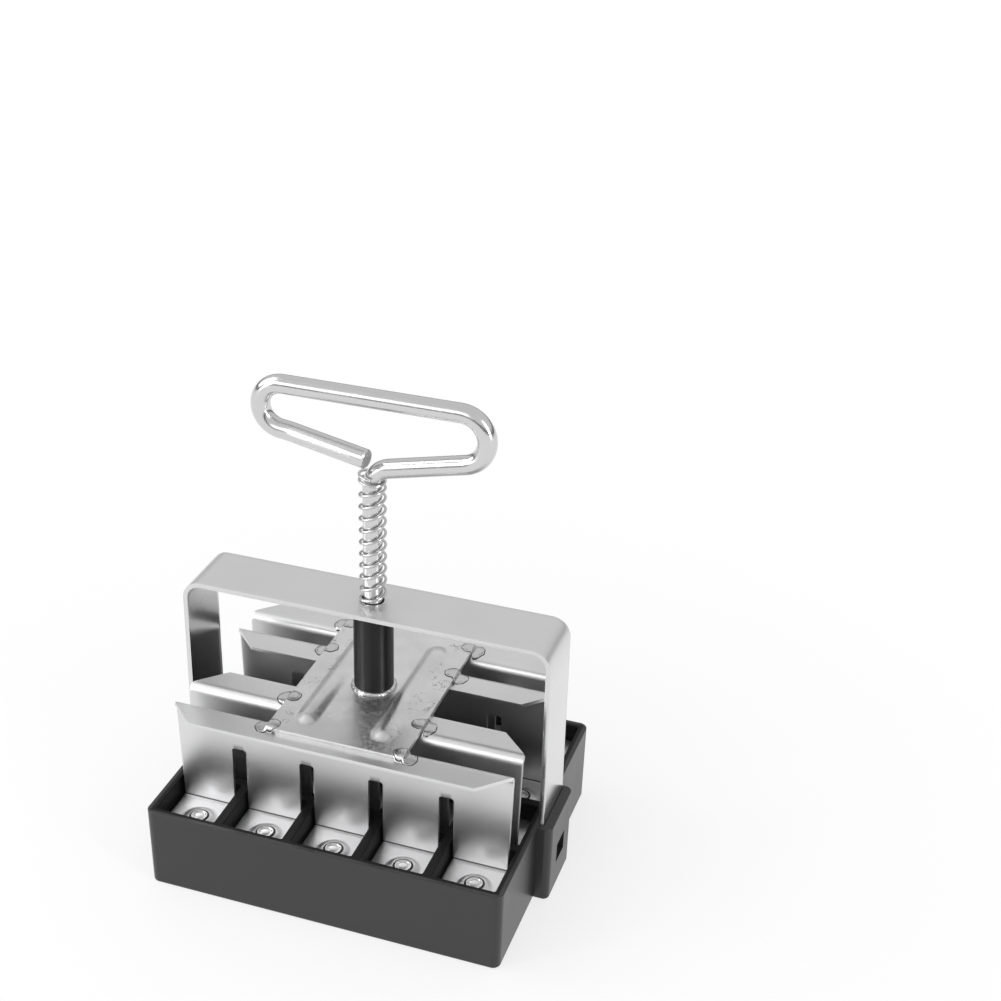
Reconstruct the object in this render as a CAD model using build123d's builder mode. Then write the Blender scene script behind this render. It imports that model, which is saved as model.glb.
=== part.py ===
from build123d import *
import os
from math import asin, atan, ceil, cos, pi, radians, sin, sqrt, tan

os.makedirs("parts", exist_ok=True)

# Hand soil blocker: a moulded tray of twenty square cells, a steel carry band clipped over it,
# and a sprung plunger whose four steel combs push the finished soil blocks out of the cells.
# Millimetres. X runs along the five cells, -Y is the front, Z is up, and the tray stands on Z = 0.

# Tray
columns = 5
rows = 4
cell_size = 20.0                # a 3/4 inch soil block
divider = 3.0
outer_wall = 2.75
tray_height = 28.0
wall_draft = 0.8                # degrees, the tray is a little wider at its rim
tray_corner = 2.5
cell_corner = 0.5
rim_round = 0.35
base_round = 0.8

# Pockets moulded on the short sides, one for each leg of the band
boss_width = 24.0
boss_wall = 3.0
boss_corner = 2.0
boss_root = 1.6
pocket_floor = 4.0
pocket_clearance = 0.12
leg_gap = 0.15                  # between the tray's rim and the leg
window_width = 8.0
window_height = 7.0
window_middle = 13.3
lug_width = 5.4
lug_height = 4.6
lug_clearance = 0.3

# Sheet parts
sheet = 1.2
tooth_clearance = 0.9           # on each side of a tooth, so that the slots clear the dividers
comb_end_clearance = 0.5        # between the outer teeth and the walls
blade_standoff = 2.3            # between a blade and the divider behind it
foot_clearance = 0.6
foot_corner = 2.0
foot_bend = 0.6                 # inside radius
flange_width = 10.0
flange_chamfer = 9.0
flange_bend = 2.0               # inside radius
comb_height = 37.4
end_taper = 1.0                 # the outer teeth narrow this much towards their feet
slot_corner = 1.0

# Motion
block_depth = 21.0              # underside of the feet above the table, plunger up
plunger_travel = 16.5
slot_clearance = 0.2            # left between slot and divider at the end of the stroke
table_clearance = 0.5           # left under the dimple pins at the end of the stroke

# Dimple pins and the raised seats that they are riveted into
seat_radius = 4.6
seat_top_radius = 3.2
seat_rise = 0.8
pin_radius = 2.5
shank_radius = 1.2
shank_clearance = 0.05
head_radius = 3.0
head_rise = 0.35
head_round = 0.25
dish_radius = 1.9               # hollow in the middle of the head
dish_depth = 0.2
pin_dome = 1.2
pin_setback = 9.6               # pin axis in front of the blade's face
pin_shift = 1.2                 # pin axis to one side of the cell's middle

# Plate that joins the combs
plate_width = 45.0
plate_thickness = 1.4
plate_lap = 5.1                 # over the flanges of the first and last comb
plate_corner = 1.5
rib_width = 6.4
rib_rise = 1.5
rib_slope = 35.0                # degrees from upright
rib_offset = 12.5
rib_setback = 7.1               # from the plate's front and back edges
rib_round = 0.8

# Rod, sleeve, band and spring
rod_diameter = 6.0
rod_clearance = 0.05
rod_tail = 1.4                  # rod left standing below the plate
sleeve_diameter = 12.6
sleeve_length = 29.8
sleeve_clearance = 0.3
band_width = 21.0
band_thickness = 1.5
band_corner = 4.6               # inside radius
band_hole_clearance = 0.5
spring_wire = 0.9
spring_clearance = 0.45         # between spring and rod
spring_turns = 10               # open turns, after a quarter turn that lies flat on the band
spring_seat_gap = 0.05
spring_lean = 0.15              # slope of the open turns, up to the right
closed_turns = 1.25             # round the rod's bend
closed_pitch = 1.8
closed_lean = -0.2

# Handle, bent from the rod's upper end
shaft_above_band = 39.5
rod_bend = 7.0
grip_height = 28.7              # top bar above the start of the bend
grip_half_width = 35.7
right_bar_rise = 13.1           # degrees
left_bar_rise = 5.7             # degrees
left_bar_bend = 25.0            # radius that turns the left bar towards the front
cut_end_past = 0.2              # over the shaft's axis
cut_end_gap = 1.1               # between the left bar and the line of the right one
cut_end_side = 39.3             # degrees from upright, left bar above and in front of the right one
rod_end_chamfer = 0.4

# Welds
spot_radius = 2.6
spot_rise = 0.8
spot_sink = 0.3                 # how far a puddle runs down over the flange's bend
spot_spread = 1.6               # centre of each puddle from the plate's edge
spot_setback = 3.4              # spot's centre in front of the blade's face
sleeve_bead = 1.5
rod_bead = 2.0
bead_bulge = 1.2                # radius of a bead's face over its width

# Places worked out from the sizes above
pitch = cell_size + divider
tray_length = columns * pitch - divider + 2 * outer_wall
tray_depth = rows * pitch - divider + 2 * outer_wall
tooth_width = cell_size - 2 * tooth_clearance
slot_width = pitch - tooth_width
comb_length = columns * pitch - divider - 2 * comb_end_clearance
slot_top = tray_height + plunger_travel + slot_clearance
foot_depth = cell_size - blade_standoff - sheet - foot_clearance
blade_face = divider / 2 + blade_standoff + sheet
flange_top = block_depth + comb_height
blade_top = flange_top - sheet - flange_bend
pin_length = block_depth - plunger_travel - table_clearance
pair_count = rows // 2
pair_places = [(2 * pair - (pair_count - 1)) * pitch for pair in range(pair_count)]
plate_top = flange_top + plate_thickness
plate_depth = 2 * (pair_places[-1] + blade_face + plate_lap)
band_underside = plate_top + sleeve_length
band_top = band_underside + band_thickness
leg_inside = tray_length / 2 + leg_gap
leg_outside = leg_inside + band_thickness
pocket_outside = leg_outside + pocket_clearance
boss_outside = pocket_outside + boss_wall
rod_radius = rod_diameter / 2
seat_ceiling = block_depth + seat_rise
column_places = [(column - (columns - 1) / 2) * pitch for column in range(columns)]
divider_places = [x + pitch / 2 for x in column_places[:-1]]
on_base = (Align.CENTER, Align.CENTER, Align.MIN)
near = 0.01                     # for picking edges by where they lie


# Cell tray: walls, dividers and the two leg pockets in one moulding
with BuildPart() as cell_tray:
    draft_shrink = 2 * tray_height * tan(radians(wall_draft))
    base_length = tray_length - draft_shrink
    base_boss_width = boss_width - draft_shrink
    with BuildSketch() as tray_outline:
        RectangleRounded(base_length, tray_depth - draft_shrink, tray_corner)
        Rectangle(2 * boss_outside - draft_shrink, base_boss_width)
        boss_corners = tray_outline.vertices().filter_by(
            lambda v: abs(abs(v.Y) - base_boss_width / 2) < near
        )
        fillet(boss_corners.filter_by(lambda v: abs(v.X) > base_length / 2 + near), boss_corner)
        fillet(boss_corners.filter_by(lambda v: abs(v.X) < base_length / 2 + near), boss_root)
    extrude(amount=tray_height, taper=-wall_draft)
    fillet(cell_tray.faces().sort_by(Axis.Z)[0].edges(), base_round)
    with BuildSketch():
        with GridLocations(pitch, pitch, columns, rows):
            RectangleRounded(cell_size, cell_size, cell_corner)
    extrude(amount=tray_height, mode=Mode.SUBTRACT)
    fillet(cell_tray.faces().sort_by(Axis.Z)[-1].edges(), rim_round)
    pocket_inside = leg_inside - pocket_clearance
    pocket_width = band_width + 2 * pocket_clearance
    wall_middle = tray_length / 2 - outer_wall / 2
    for side in (-1, 1):
        # pocket for the leg, open at the rim
        with BuildSketch(Plane.XY.offset(pocket_floor)):
            with Locations((side * (pocket_inside + pocket_outside) / 2, 0)):
                Rectangle(pocket_outside - pocket_inside, pocket_width)
        extrude(amount=tray_height, mode=Mode.SUBTRACT)
        # window through the pocket's outer wall
        with BuildSketch(Plane.YZ.offset(side * leg_outside)):
            with Locations((0, window_middle)):
                Rectangle(window_width, window_height)
        extrude(amount=side * 2 * boss_wall, mode=Mode.SUBTRACT)
        # ramped lug behind the window, which the hole in the leg clicks over
        with BuildSketch(Plane.XZ):
            with BuildLine():
                Polyline(
                    (side * wall_middle, window_middle - lug_height / 2),
                    (side * leg_outside, window_middle - lug_height / 2),
                    (side * leg_outside, window_middle),
                    (side * leg_inside, window_middle + lug_height / 2),
                    (side * wall_middle, window_middle + lug_height / 2),
                    close=True,
                )
            make_face()
        extrude(amount=lug_width / 2, both=True)
cell_tray.part.label = "cell_tray"
export_step(cell_tray.part, "parts/cell_tray.step")


# Carry band: one strip bent into an inverted U, with a hole for the rod and one in each leg
with BuildPart() as carry_band:
    leg_middle = leg_inside + band_thickness / 2
    top_middle = band_top - band_thickness / 2
    with BuildSketch(Plane.XZ):
        with BuildLine() as band_line:
            FilletPolyline(
                (-leg_middle, pocket_floor),
                (-leg_middle, top_middle),
                (leg_middle, top_middle),
                (leg_middle, pocket_floor),
                radius=band_corner + band_thickness / 2,
            )
        trace(line_width=band_thickness)
    extrude(amount=band_width / 2, both=True)
    with Locations((0, 0, top_middle)):
        Hole(rod_radius + band_hole_clearance, depth=2 * band_thickness)
    with Locations((-leg_middle, 0, window_middle), (leg_middle, 0, window_middle)):
        Box(
            2 * band_thickness,
            lug_width + 2 * lug_clearance,
            lug_height + 2 * lug_clearance,
            mode=Mode.SUBTRACT,
        )
    leg_ends = carry_band.faces().group_by(Axis.Z)[0].edges().filter_by(Axis.X)
    fillet(leg_ends, band_thickness)
carry_band.part.label = "carry_band"
export_step(carry_band.part, "parts/carry_band.step")


# Plunger plate: flat sheet with a hole for the rod and two stamped ribs, hollow below
with BuildPart() as plunger_plate:
    with BuildSketch(Plane.XY.offset(flange_top)):
        RectangleRounded(plate_width, plate_depth, plate_corner)
    extrude(amount=plate_thickness)
    rib_length = plate_depth - 2 * rib_setback
    with BuildSketch(Plane.XY.offset(plate_top)):
        with Locations((-rib_offset, 0), (rib_offset, 0)):
            SlotOverall(rib_length, rib_width, rotation=90)
    extrude(amount=rib_rise, taper=rib_slope)
    fillet(plunger_plate.faces().group_by(Axis.Z)[-1].edges(), rib_round)
    with BuildSketch(Plane.XY.offset(flange_top)):
        with Locations((-rib_offset, 0), (rib_offset, 0)):
            SlotOverall(rib_length - plate_thickness, rib_width - plate_thickness, rotation=90)
    extrude(amount=rib_rise, taper=rib_slope, mode=Mode.SUBTRACT)
    with Locations((0, 0, plate_top)):
        Hole(rod_radius + rod_clearance, depth=2 * plate_thickness)
plunger_plate.part.label = "plunger_plate"
export_step(plunger_plate.part, "parts/plunger_plate.step")


# One dimple pin: a rivet whose long end presses the seed hole into the block
with BuildPart() as dimple_pin:
    with BuildSketch(Plane.XZ):
        with BuildLine():
            pin_tip = block_depth - pin_length
            head_seat = seat_ceiling + sheet
            TangentArc((0, pin_tip), (pin_radius, pin_tip + pin_dome), tangent=(1, 0))
            Polyline(
                (pin_radius, pin_tip + pin_dome),
                (pin_radius, seat_ceiling),
                (shank_radius, seat_ceiling),
                (shank_radius, head_seat),
                (head_radius, head_seat),
                (head_radius, head_seat + head_rise - head_round),
            )
            TangentArc(
                (head_radius, head_seat + head_rise - head_round),
                (head_radius - head_round, head_seat + head_rise),
                tangent=(0, 1),
            )
            Polyline(
                (head_radius - head_round, head_seat + head_rise),
                (dish_radius, head_seat + head_rise),
                (dish_radius - dish_depth, head_seat + head_rise - dish_depth),
                (0, head_seat + head_rise - dish_depth),
                (0, pin_tip),
            )
        make_face()
    revolve(axis=Axis.Z)


# Combs: sheet channels with a flange above and one tooth and foot for each cell. They stand in
# pairs, back to back over every second divider.
comb_number = 0
for pair_place in pair_places:
    for facing in (-1, 1):
        comb_number += 1
        face = pair_place + facing * blade_face
        middle = face - facing * sheet / 2
        flange_front = face + facing * flange_width
        foot_front = face + facing * foot_depth
        seats = [(x - facing * pin_shift, face + facing * pin_setback) for x in column_places]
        with BuildPart() as comb_row:
            with BuildSketch(Plane.YZ):
                with BuildLine():
                    FilletPolyline(
                        (flange_front, flange_top - sheet / 2),
                        (middle, flange_top - sheet / 2),
                        (middle, block_depth + sheet / 2),
                        (foot_front, block_depth + sheet / 2),
                        radius=[flange_bend + sheet / 2, foot_bend + sheet / 2],
                    )
                trace(line_width=sheet)
            extrude(amount=comb_length / 2, both=True)
            # outline seen from the front: outer teeth drawn in, and a slot over each divider
            with BuildSketch(Plane.XZ):
                with BuildLine():
                    Polyline(
                        (-comb_length / 2, flange_top),
                        (-comb_length / 2, blade_top),
                        (end_taper - comb_length / 2, block_depth + sheet),
                        (end_taper - comb_length / 2, block_depth),
                        (comb_length / 2 - end_taper, block_depth),
                        (comb_length / 2 - end_taper, block_depth + sheet),
                        (comb_length / 2, blade_top),
                        (comb_length / 2, flange_top),
                        close=True,
                    )
                make_face()
                with Locations(*[(x, slot_top / 2) for x in divider_places]):
                    RectangleRounded(slot_width, slot_top, slot_corner, mode=Mode.SUBTRACT)
            extrude(amount=tray_depth, both=True, mode=Mode.INTERSECT)
            corners = comb_row.edges().filter_by(Axis.Z)
            fillet(corners.filter_by(lambda e: abs(e.center().Y - foot_front) < near), foot_corner)
            corners = comb_row.edges().filter_by(Axis.Z)
            chamfer(
                corners.filter_by(lambda e: abs(e.center().Y - flange_front) < near),
                flange_chamfer,
            )
            # a raised seat for each dimple pin, hollow below
            with Locations(*[(x, y, block_depth + sheet) for x, y in seats]):
                Cone(seat_radius, seat_top_radius, seat_rise, align=on_base)
            with Locations(*[(x, y, block_depth) for x, y in seats]):
                Cone(seat_radius, seat_top_radius, seat_rise, align=on_base, mode=Mode.SUBTRACT)
            with Locations(*[(x, y, seat_ceiling + sheet) for x, y in seats]):
                Hole(shank_radius + shank_clearance, depth=2 * sheet)
        comb_row.part.label = f"comb_row_{comb_number}"
        export_step(comb_row.part, f"parts/comb_row_{comb_number}.step")

        with BuildPart() as dimple_pins:
            with Locations(*seats):
                add(dimple_pin.part)
        dimple_pins.part.label = f"dimple_pins_row_{comb_number}"
        export_step(dimple_pins.part, f"parts/dimple_pins_row_{comb_number}.step")

        # weld spots where the plate's side edges cross the flange: a puddle on each side of the step
        puddle_sphere = (spot_radius**2 + spot_rise**2) / (2 * spot_rise)
        spot_place = face + facing * spot_setback
        puddles = [
            (side * (plate_width / 2 + step * spot_spread), spot_place, level + spot_rise - puddle_sphere)
            for side in (-1, 1)
            for step, level in ((1, flange_top), (-1, plate_top))
        ]
        with BuildPart() as weld_spots:
            with Locations(*puddles):
                Sphere(puddle_sphere)
            split(bisect_by=Plane.XY.offset(flange_top - spot_sink), keep=Keep.TOP)
            with BuildSketch(Plane.XY.offset(flange_top - spot_sink)):
                Rectangle(plate_width, plate_depth)
            extrude(amount=spot_sink + plate_thickness, mode=Mode.SUBTRACT)
            add(comb_row.part, mode=Mode.SUBTRACT)
        weld_spots.part.label = f"weld_spots_row_{comb_number}"
        export_step(weld_spots.part, f"parts/weld_spots_row_{comb_number}.step")


# Stop sleeve: tube round the rod from the plate up to the band, which it meets when the plunger is up
with BuildPart() as stop_sleeve:
    with BuildSketch(Plane.XY.offset(plate_top)):
        Circle(sleeve_diameter / 2)
        Circle(rod_radius + sleeve_clearance, mode=Mode.SUBTRACT)
    extrude(amount=sleeve_length)
stop_sleeve.part.label = "stop_sleeve"
export_step(stop_sleeve.part, "parts/stop_sleeve.step")


# Weld bead round the foot of the sleeve
with BuildPart() as sleeve_weld:
    with BuildSketch(Plane.XZ):
        with BuildLine():
            Line((sleeve_diameter / 2, plate_top), (sleeve_diameter / 2 + sleeve_bead, plate_top))
            RadiusArc(
                (sleeve_diameter / 2 + sleeve_bead, plate_top),
                (sleeve_diameter / 2, plate_top + sleeve_bead),
                -bead_bulge * sleeve_bead,
            )
            Line((sleeve_diameter / 2, plate_top + sleeve_bead), (sleeve_diameter / 2, plate_top))
        make_face()
    revolve(axis=Axis.Z)
sleeve_weld.part.label = "sleeve_weld"
export_step(sleeve_weld.part, "parts/sleeve_weld.step")


# Weld bead that holds the rod's tail under the plate
with BuildPart() as rod_weld:
    with BuildSketch(Plane.XZ):
        with BuildLine():
            Line((rod_radius, flange_top), (rod_radius + rod_bead, flange_top))
            RadiusArc(
                (rod_radius + rod_bead, flange_top),
                (rod_radius, flange_top - rod_tail),
                bead_bulge * rod_bead,
            )
            Line((rod_radius, flange_top - rod_tail), (rod_radius, flange_top))
        make_face()
    revolve(axis=Axis.Z)
rod_weld.part.label = "rod_weld"
export_step(rod_weld.part, "parts/rod_weld.step")


# Handle rod: one wire, straight up through plate, sleeve, band and spring, then bent round into
# a flat grip whose left bar turns a little towards the front and ends in front of the first bend
def grip_end_radius(height, rise, half_width):
    """Radius that meets a level bar, a bar rising outwards below it, and the grip's far end."""
    slope = radians(rise)
    return cos(slope) * (height - tan(slope) * half_width) / (1 + cos(slope) - sin(slope))


with BuildPart() as handle_rod:
    with BuildSketch(Plane.XY.offset(flange_top - rod_tail)):
        Circle(rod_radius)
    with BuildLine(Plane.XZ) as rod_line:
        bend_start = band_top + shaft_above_band
        grip_top = bend_start + grip_height
        right = radians(right_bar_rise)
        left = radians(left_bar_rise)
        bend_reach = rod_bend * (1 - sin(right))
        bend_end = (bend_reach, bend_start + rod_bend * cos(right))
        right_line = bend_end[1] - bend_reach * tan(right)
        left_line = right_line + (rod_diameter + cut_end_gap) * cos(radians(cut_end_side))
        cut_end_front = (rod_diameter + cut_end_gap) * sin(radians(cut_end_side))
        right_radius = grip_end_radius(grip_top - right_line, right_bar_rise, grip_half_width)
        left_radius = grip_end_radius(grip_top - left_line, left_bar_rise, grip_half_width)
        right_centre = grip_half_width - right_radius
        left_centre = left_radius - grip_half_width
        right_tangent = right_centre + right_radius * sin(right)
        left_tangent = left_centre - left_radius * sin(left)
        shaft = Line((0, flange_top - rod_tail), (0, bend_start))
        bend = TangentArc(shaft @ 1, bend_end, tangent=shaft % 1)
        right_bar = Line(bend @ 1, (right_tangent, right_line + right_tangent * tan(right)))
        right_end = TangentArc(right_bar @ 1, (right_centre, grip_top), tangent=right_bar % 1)
        top_bar = Line(right_end @ 1, (left_centre, grip_top))
        left_height = left_line - left_tangent * tan(left)
        left_end = TangentArc(top_bar @ 1, (left_tangent, left_height), tangent=top_bar % 1)
        # turn that brings the left bar to the cut end's place in front of the bend
        bar_length = (cut_end_past - left_tangent) / cos(left)
        bar_offset = left_bar_bend - cut_end_front
        swing = asin(left_bar_bend / sqrt(bar_length**2 + bar_offset**2)) - atan(bar_offset / bar_length)
        swing_reach = left_bar_bend * sin(swing)
        swing_end = (
            left_tangent + swing_reach * cos(left),
            left_height - swing_reach * sin(left),
            left_bar_bend * (1 - cos(swing)),
        )
        left_swing = TangentArc(left_end @ 1, swing_end, tangent=left_end % 1)
        cut_end = (cut_end_past, left_line - cut_end_past * tan(left), cut_end_front)
        left_bar = Line(left_swing @ 1, cut_end)
    sweep()
    ends = handle_rod.faces().filter_by(GeomType.PLANE).edges()
    chamfer(ends, rod_end_chamfer)
handle_rod.part.label = "handle_rod"
export_step(handle_rod.part, "parts/handle_rod.step")


# Return spring: from behind the rod a quarter turn flat on the band, an even rise up to the bend, and
# closed turns round it. The open turns lean up to the right and the closed ones to the left. Each half
# turn is a pair of arcs that share their headings.
def eased(share):
    """Share of a soft step from 0 to 1."""
    share = min(max(share, 0), 1)
    return share * share * (3 - 2 * share)


def coil_point(half_turn):
    angle = half_turn * pi
    open_part = min(max(half_turn - 1, 0), open_half_turns)
    closed_part = max(half_turn - 1 - open_half_turns, 0)
    rise = open_part * open_rise + closed_part * closed_pitch / 2
    lean = spring_lean * eased((half_turn - 1) / lean_run)
    lean += (closed_lean - spring_lean) * eased((half_turn - 1 - open_half_turns) / lean_run + 1)
    across = coil_radius * cos(angle)
    return Vector(across, coil_radius * sin(angle), coil_foot + rise + lean * across)


def coil_heading(half_turn):
    angle = half_turn * pi
    step = 0.02
    climb = (coil_point(half_turn + step).Z - coil_point(half_turn - step).Z) / (2 * step)
    if half_turn <= 1:
        climb = 0
    return Vector(-coil_radius * pi * sin(angle), coil_radius * pi * cos(angle), climb).normalized()


with BuildPart() as return_spring:
    coil_radius = rod_radius + spring_clearance + spring_wire / 2
    coil_foot = band_top + spring_seat_gap + spring_wire / 2
    open_half_turns = 2 * spring_turns
    first_half_turn = 0.5       # straight behind the rod
    lean_run = 2                # half turns over which the lean changes
    # the last pass on the bend's inner side touches nothing, and sets the rise of the open turns
    wire_reach = rod_bend - rod_radius - spring_seat_gap - spring_wire / 2
    bend_clearance = sqrt(wire_reach**2 - (rod_bend - coil_radius) ** 2)
    last_pass = bend_start + bend_clearance - closed_pitch / 2 - closed_lean * coil_radius
    open_rise = (last_pass - coil_foot) / open_half_turns
    last_half_turn = 1 + open_half_turns + 2 * closed_turns
    stations = [*range(1, ceil(last_half_turn)), last_half_turn]
    with BuildLine() as coil_line:
        start = coil_point(first_half_turn)
        heading = coil_heading(first_half_turn)
        Line(start - heading * spring_wire, start)
        for half_turn in stations:
            end = coil_point(half_turn)
            end_heading = coil_heading(half_turn)
            # the two arcs meet midway between the tips of equal tangents from both ends
            across = end - start
            together = heading + end_heading
            spread = 2 * (1 - heading.dot(end_heading))
            drift = across.dot(together)
            reach = (sqrt(drift**2 + spread * across.dot(across)) - drift) / spread
            first_tip = start + heading * reach
            last_tip = end - end_heading * reach
            joint = (first_tip + last_tip) / 2
            first_arc = TangentArc(start, joint, tangent=heading)
            TangentArc(joint, end, tangent=first_arc % 1)
            start = end
            heading = end_heading
        Line(start, start + heading * spring_wire)
    with BuildSketch(Plane(origin=coil_line.line @ 0, z_dir=coil_line.line % 0)):
        Circle(spring_wire / 2)
    sweep()
# least gap between turns, from points along the wire's centre that are half a turn apart or more
steps = 6
wire_points = [arc @ (step / steps) for arc in coil_line.edges() for step in range(steps)]
least_gap = -spring_wire + min(
    (other - point).length
    for place, point in enumerate(wire_points)
    for other in wire_points[place + 2 * steps :]
)
print(f"return spring: least gap between turns {least_gap:.2f} mm")
return_spring.part.label = "return_spring"
export_step(return_spring.part, "parts/return_spring.step")
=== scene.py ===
import math

import bpy
from mathutils import Matrix, Vector, noise


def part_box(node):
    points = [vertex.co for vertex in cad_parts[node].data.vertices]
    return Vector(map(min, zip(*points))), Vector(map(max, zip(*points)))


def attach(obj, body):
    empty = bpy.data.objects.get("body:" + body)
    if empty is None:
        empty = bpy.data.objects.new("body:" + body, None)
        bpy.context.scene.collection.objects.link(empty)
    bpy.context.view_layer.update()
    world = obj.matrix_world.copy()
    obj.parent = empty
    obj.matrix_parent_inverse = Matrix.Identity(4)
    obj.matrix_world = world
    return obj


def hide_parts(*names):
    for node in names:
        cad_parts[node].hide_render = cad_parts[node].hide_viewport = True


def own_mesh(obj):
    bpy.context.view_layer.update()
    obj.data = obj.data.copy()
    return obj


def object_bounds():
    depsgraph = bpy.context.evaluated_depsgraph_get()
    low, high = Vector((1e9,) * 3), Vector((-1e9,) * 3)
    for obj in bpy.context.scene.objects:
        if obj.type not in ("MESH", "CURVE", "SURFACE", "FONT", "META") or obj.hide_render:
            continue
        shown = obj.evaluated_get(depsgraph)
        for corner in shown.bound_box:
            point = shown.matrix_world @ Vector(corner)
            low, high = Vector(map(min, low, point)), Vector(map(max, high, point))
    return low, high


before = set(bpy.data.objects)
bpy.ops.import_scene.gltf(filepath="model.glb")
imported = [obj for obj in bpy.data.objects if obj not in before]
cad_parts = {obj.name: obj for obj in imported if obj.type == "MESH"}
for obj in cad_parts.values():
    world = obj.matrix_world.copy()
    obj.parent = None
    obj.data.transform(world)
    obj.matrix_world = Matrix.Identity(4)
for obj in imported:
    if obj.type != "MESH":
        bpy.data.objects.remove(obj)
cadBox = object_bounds()
mm = 0.001  # a millimetre in the scene's metres
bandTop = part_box("carry_band")[1].z / mm
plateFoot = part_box("plunger_plate")[0].z / mm
allNoise, midNoise = (0.3, 0.7), (0.35, 0.65)  # nearly all of a noise pattern's values, and most
# sockets of a Mix node for colours, which share their names with those for other values
mixFactor, mixFrom, mixTo, mixResult = 0, 6, 7, 2


def linearColour(hexCode):
    channels = [int(hexCode[i : i + 2], 16) / 255 for i in (1, 3, 5)]
    return [c / 12.92 if c <= 0.04045 else ((c + 0.055) / 1.055) ** 2.4 for c in channels] + [1.0]


def addNode(tree, kind, settings=None, links=None):
    # a link starts at the output that is given, or at the first output of the node that is given
    node = tree.nodes.new("ShaderNode" + kind)
    for key, value in (settings or {}).items():
        if isinstance(key, int) or key in node.inputs:
            node.inputs[key].default_value = value
        else:
            setattr(node, key, value)
    for key, source in (links or {}).items():
        output = source.outputs[0] if isinstance(source, bpy.types.Node) else source
        tree.links.new(output, node.inputs[key])
    return node


def makeMaterial(name, fill, look):
    material = bpy.data.materials.new(name)
    material.use_nodes = True
    material.node_tree.nodes.clear()
    fill(material.node_tree, look)
    return material


def finishMaterial(tree, settings, links):
    shader = addNode(tree, "BsdfPrincipled", settings, links)
    addNode(tree, "OutputMaterial", links={"Surface": shader})


def fade(low, high, start=0.0, end=1.0):
    # limits that take a value between low and high to one between start and end
    return {"From Min": low, "From Max": high, "To Min": start, "To Max": end}


def millimetres(tree):
    place = addNode(tree, "TexCoord").outputs["Object"]
    return addNode(tree, "VectorMath", {"operation": "SCALE", "Scale": 1 / mm}, {0: place})


def pattern(tree, place, size, detail=2.0, turn=0.0):
    # noise with cells of this size in millimetres, the same all ways or one for each axis
    scale = [1 / side for side in (size if isinstance(size, tuple) else (size, size, size))]
    turning = {"rotation_type": "Z_AXIS", "Angle": math.radians(turn)}
    turned = addNode(tree, "VectorRotate", turning, {"Vector": place})
    cells = addNode(tree, "VectorMath", {"operation": "MULTIPLY", 1: scale}, {0: turned})
    return addNode(tree, "TexNoise", {"Scale": 1.0, "Detail": detail}, {"Vector": cells}).outputs["Fac"]


def shifted(tree, roughness, value, limits):
    # a roughness that rises or falls with a value, between limits
    change = addNode(tree, "MapRange", limits, {"Value": value})
    return addNode(tree, "Math", {"operation": "ADD"}, {0: roughness, 1: change})


# Cold-rolled stainless sheet: bright and slightly blurred, with long faint rolling lines, a few
# handling scratches, and patches and specks that are a little duller. A dark line is painted into
# its creases: painted shade.
rolledSheet = {
    "tone": "#e0e0e0",
    "dullTone": "#d8d8d9",
    "roughness": 0.33,
    "dullRoughness": 0.36,
    "patch": 24.0,
    "speck": 1.6,
    "speckRoughness": 0.015,
    "rollingLine": (40.0, 0.35, 0.35),  # drawn coarser than the real 0.05 mm, which would not show
    "rollingBump": {"Strength": 0.10, "Distance": 0.02 * mm},
    "scratch": (7.0, 0.14, 0.14),
    "scratchTurns": (24.0, -61.0),
    "scratchStarts": (0.70, 0.71),  # noise above these is a scratch
    "scratchFull": 0.76,
    "scratchRoughness": 0.12,
    "scratchBump": {"Strength": 0.22, "Distance": 0.03 * mm, "invert": True},
    "creaseShade": "#2e2d2c",
    "creaseShadeFade": (0.3, 0.8),
    "creaseShadeCover": 0.9,
}
# The plate has been wire-brushed round its welds, so it is cloudy, with scribbled marks beside
# them. Its sheared edge is bright where the blade cut it and dull where it broke.
brushedPlate = {
    **rolledSheet,
    "tone": "#e4e4e4",
    "dullTone": "#dadada",
    "dullRoughness": 0.39,
    "patch": 9.0,
    "speck": 1.2,
    "speckRoughness": 0.07,
    "rollingBump": {"Strength": 0.14, "Distance": 0.02 * mm},
    "scratchBump": {"Strength": 0.3, "Distance": 0.03 * mm, "invert": True},
    "scribble": 0.75,
    "scribbleTone": "#6e6e6e",
    "scribbleSize": 3.2,
    "scribbleLine": (0.004, 0.016),  # noise this near its middle is a line
    "scribbleGroup": (7.0, 9.0, 9.0),
    "scribbleGroupFade": (0.52, 0.58),
    "scribbleBeyond": (13.0, 3.0),  # distance from the plate's middle line, and where it is full
    "brokenEdge": "#d6d6d6",
    "brokenFrom": 0.05,  # above the plate's underside
    "brokenTo": 0.95,
    "brokenFade": 0.1,
    "brokenRoughness": 0.2,
}
# The carry band is the same stock, tumbled until its surface is even and satin. Its legs are rubbed
# brighter, so they mirror the dark tray.
tumbledStrip = {
    **rolledSheet,
    "tone": "#dedede",
    "dullTone": "#dadada",
    "roughness": 0.38,
    "dullRoughness": 0.40,
    "patch": 25.0,
    "speckRoughness": 0.005,
    "rollingBump": {"Strength": 0.03, "Distance": 0.02 * mm},
    "scratchBump": {"Strength": 0.05, "Distance": 0.03 * mm, "invert": True},
    "legRoughness": 0.2,
    "legFade": (16.0, 5.0),  # below the band's top
}


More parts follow.
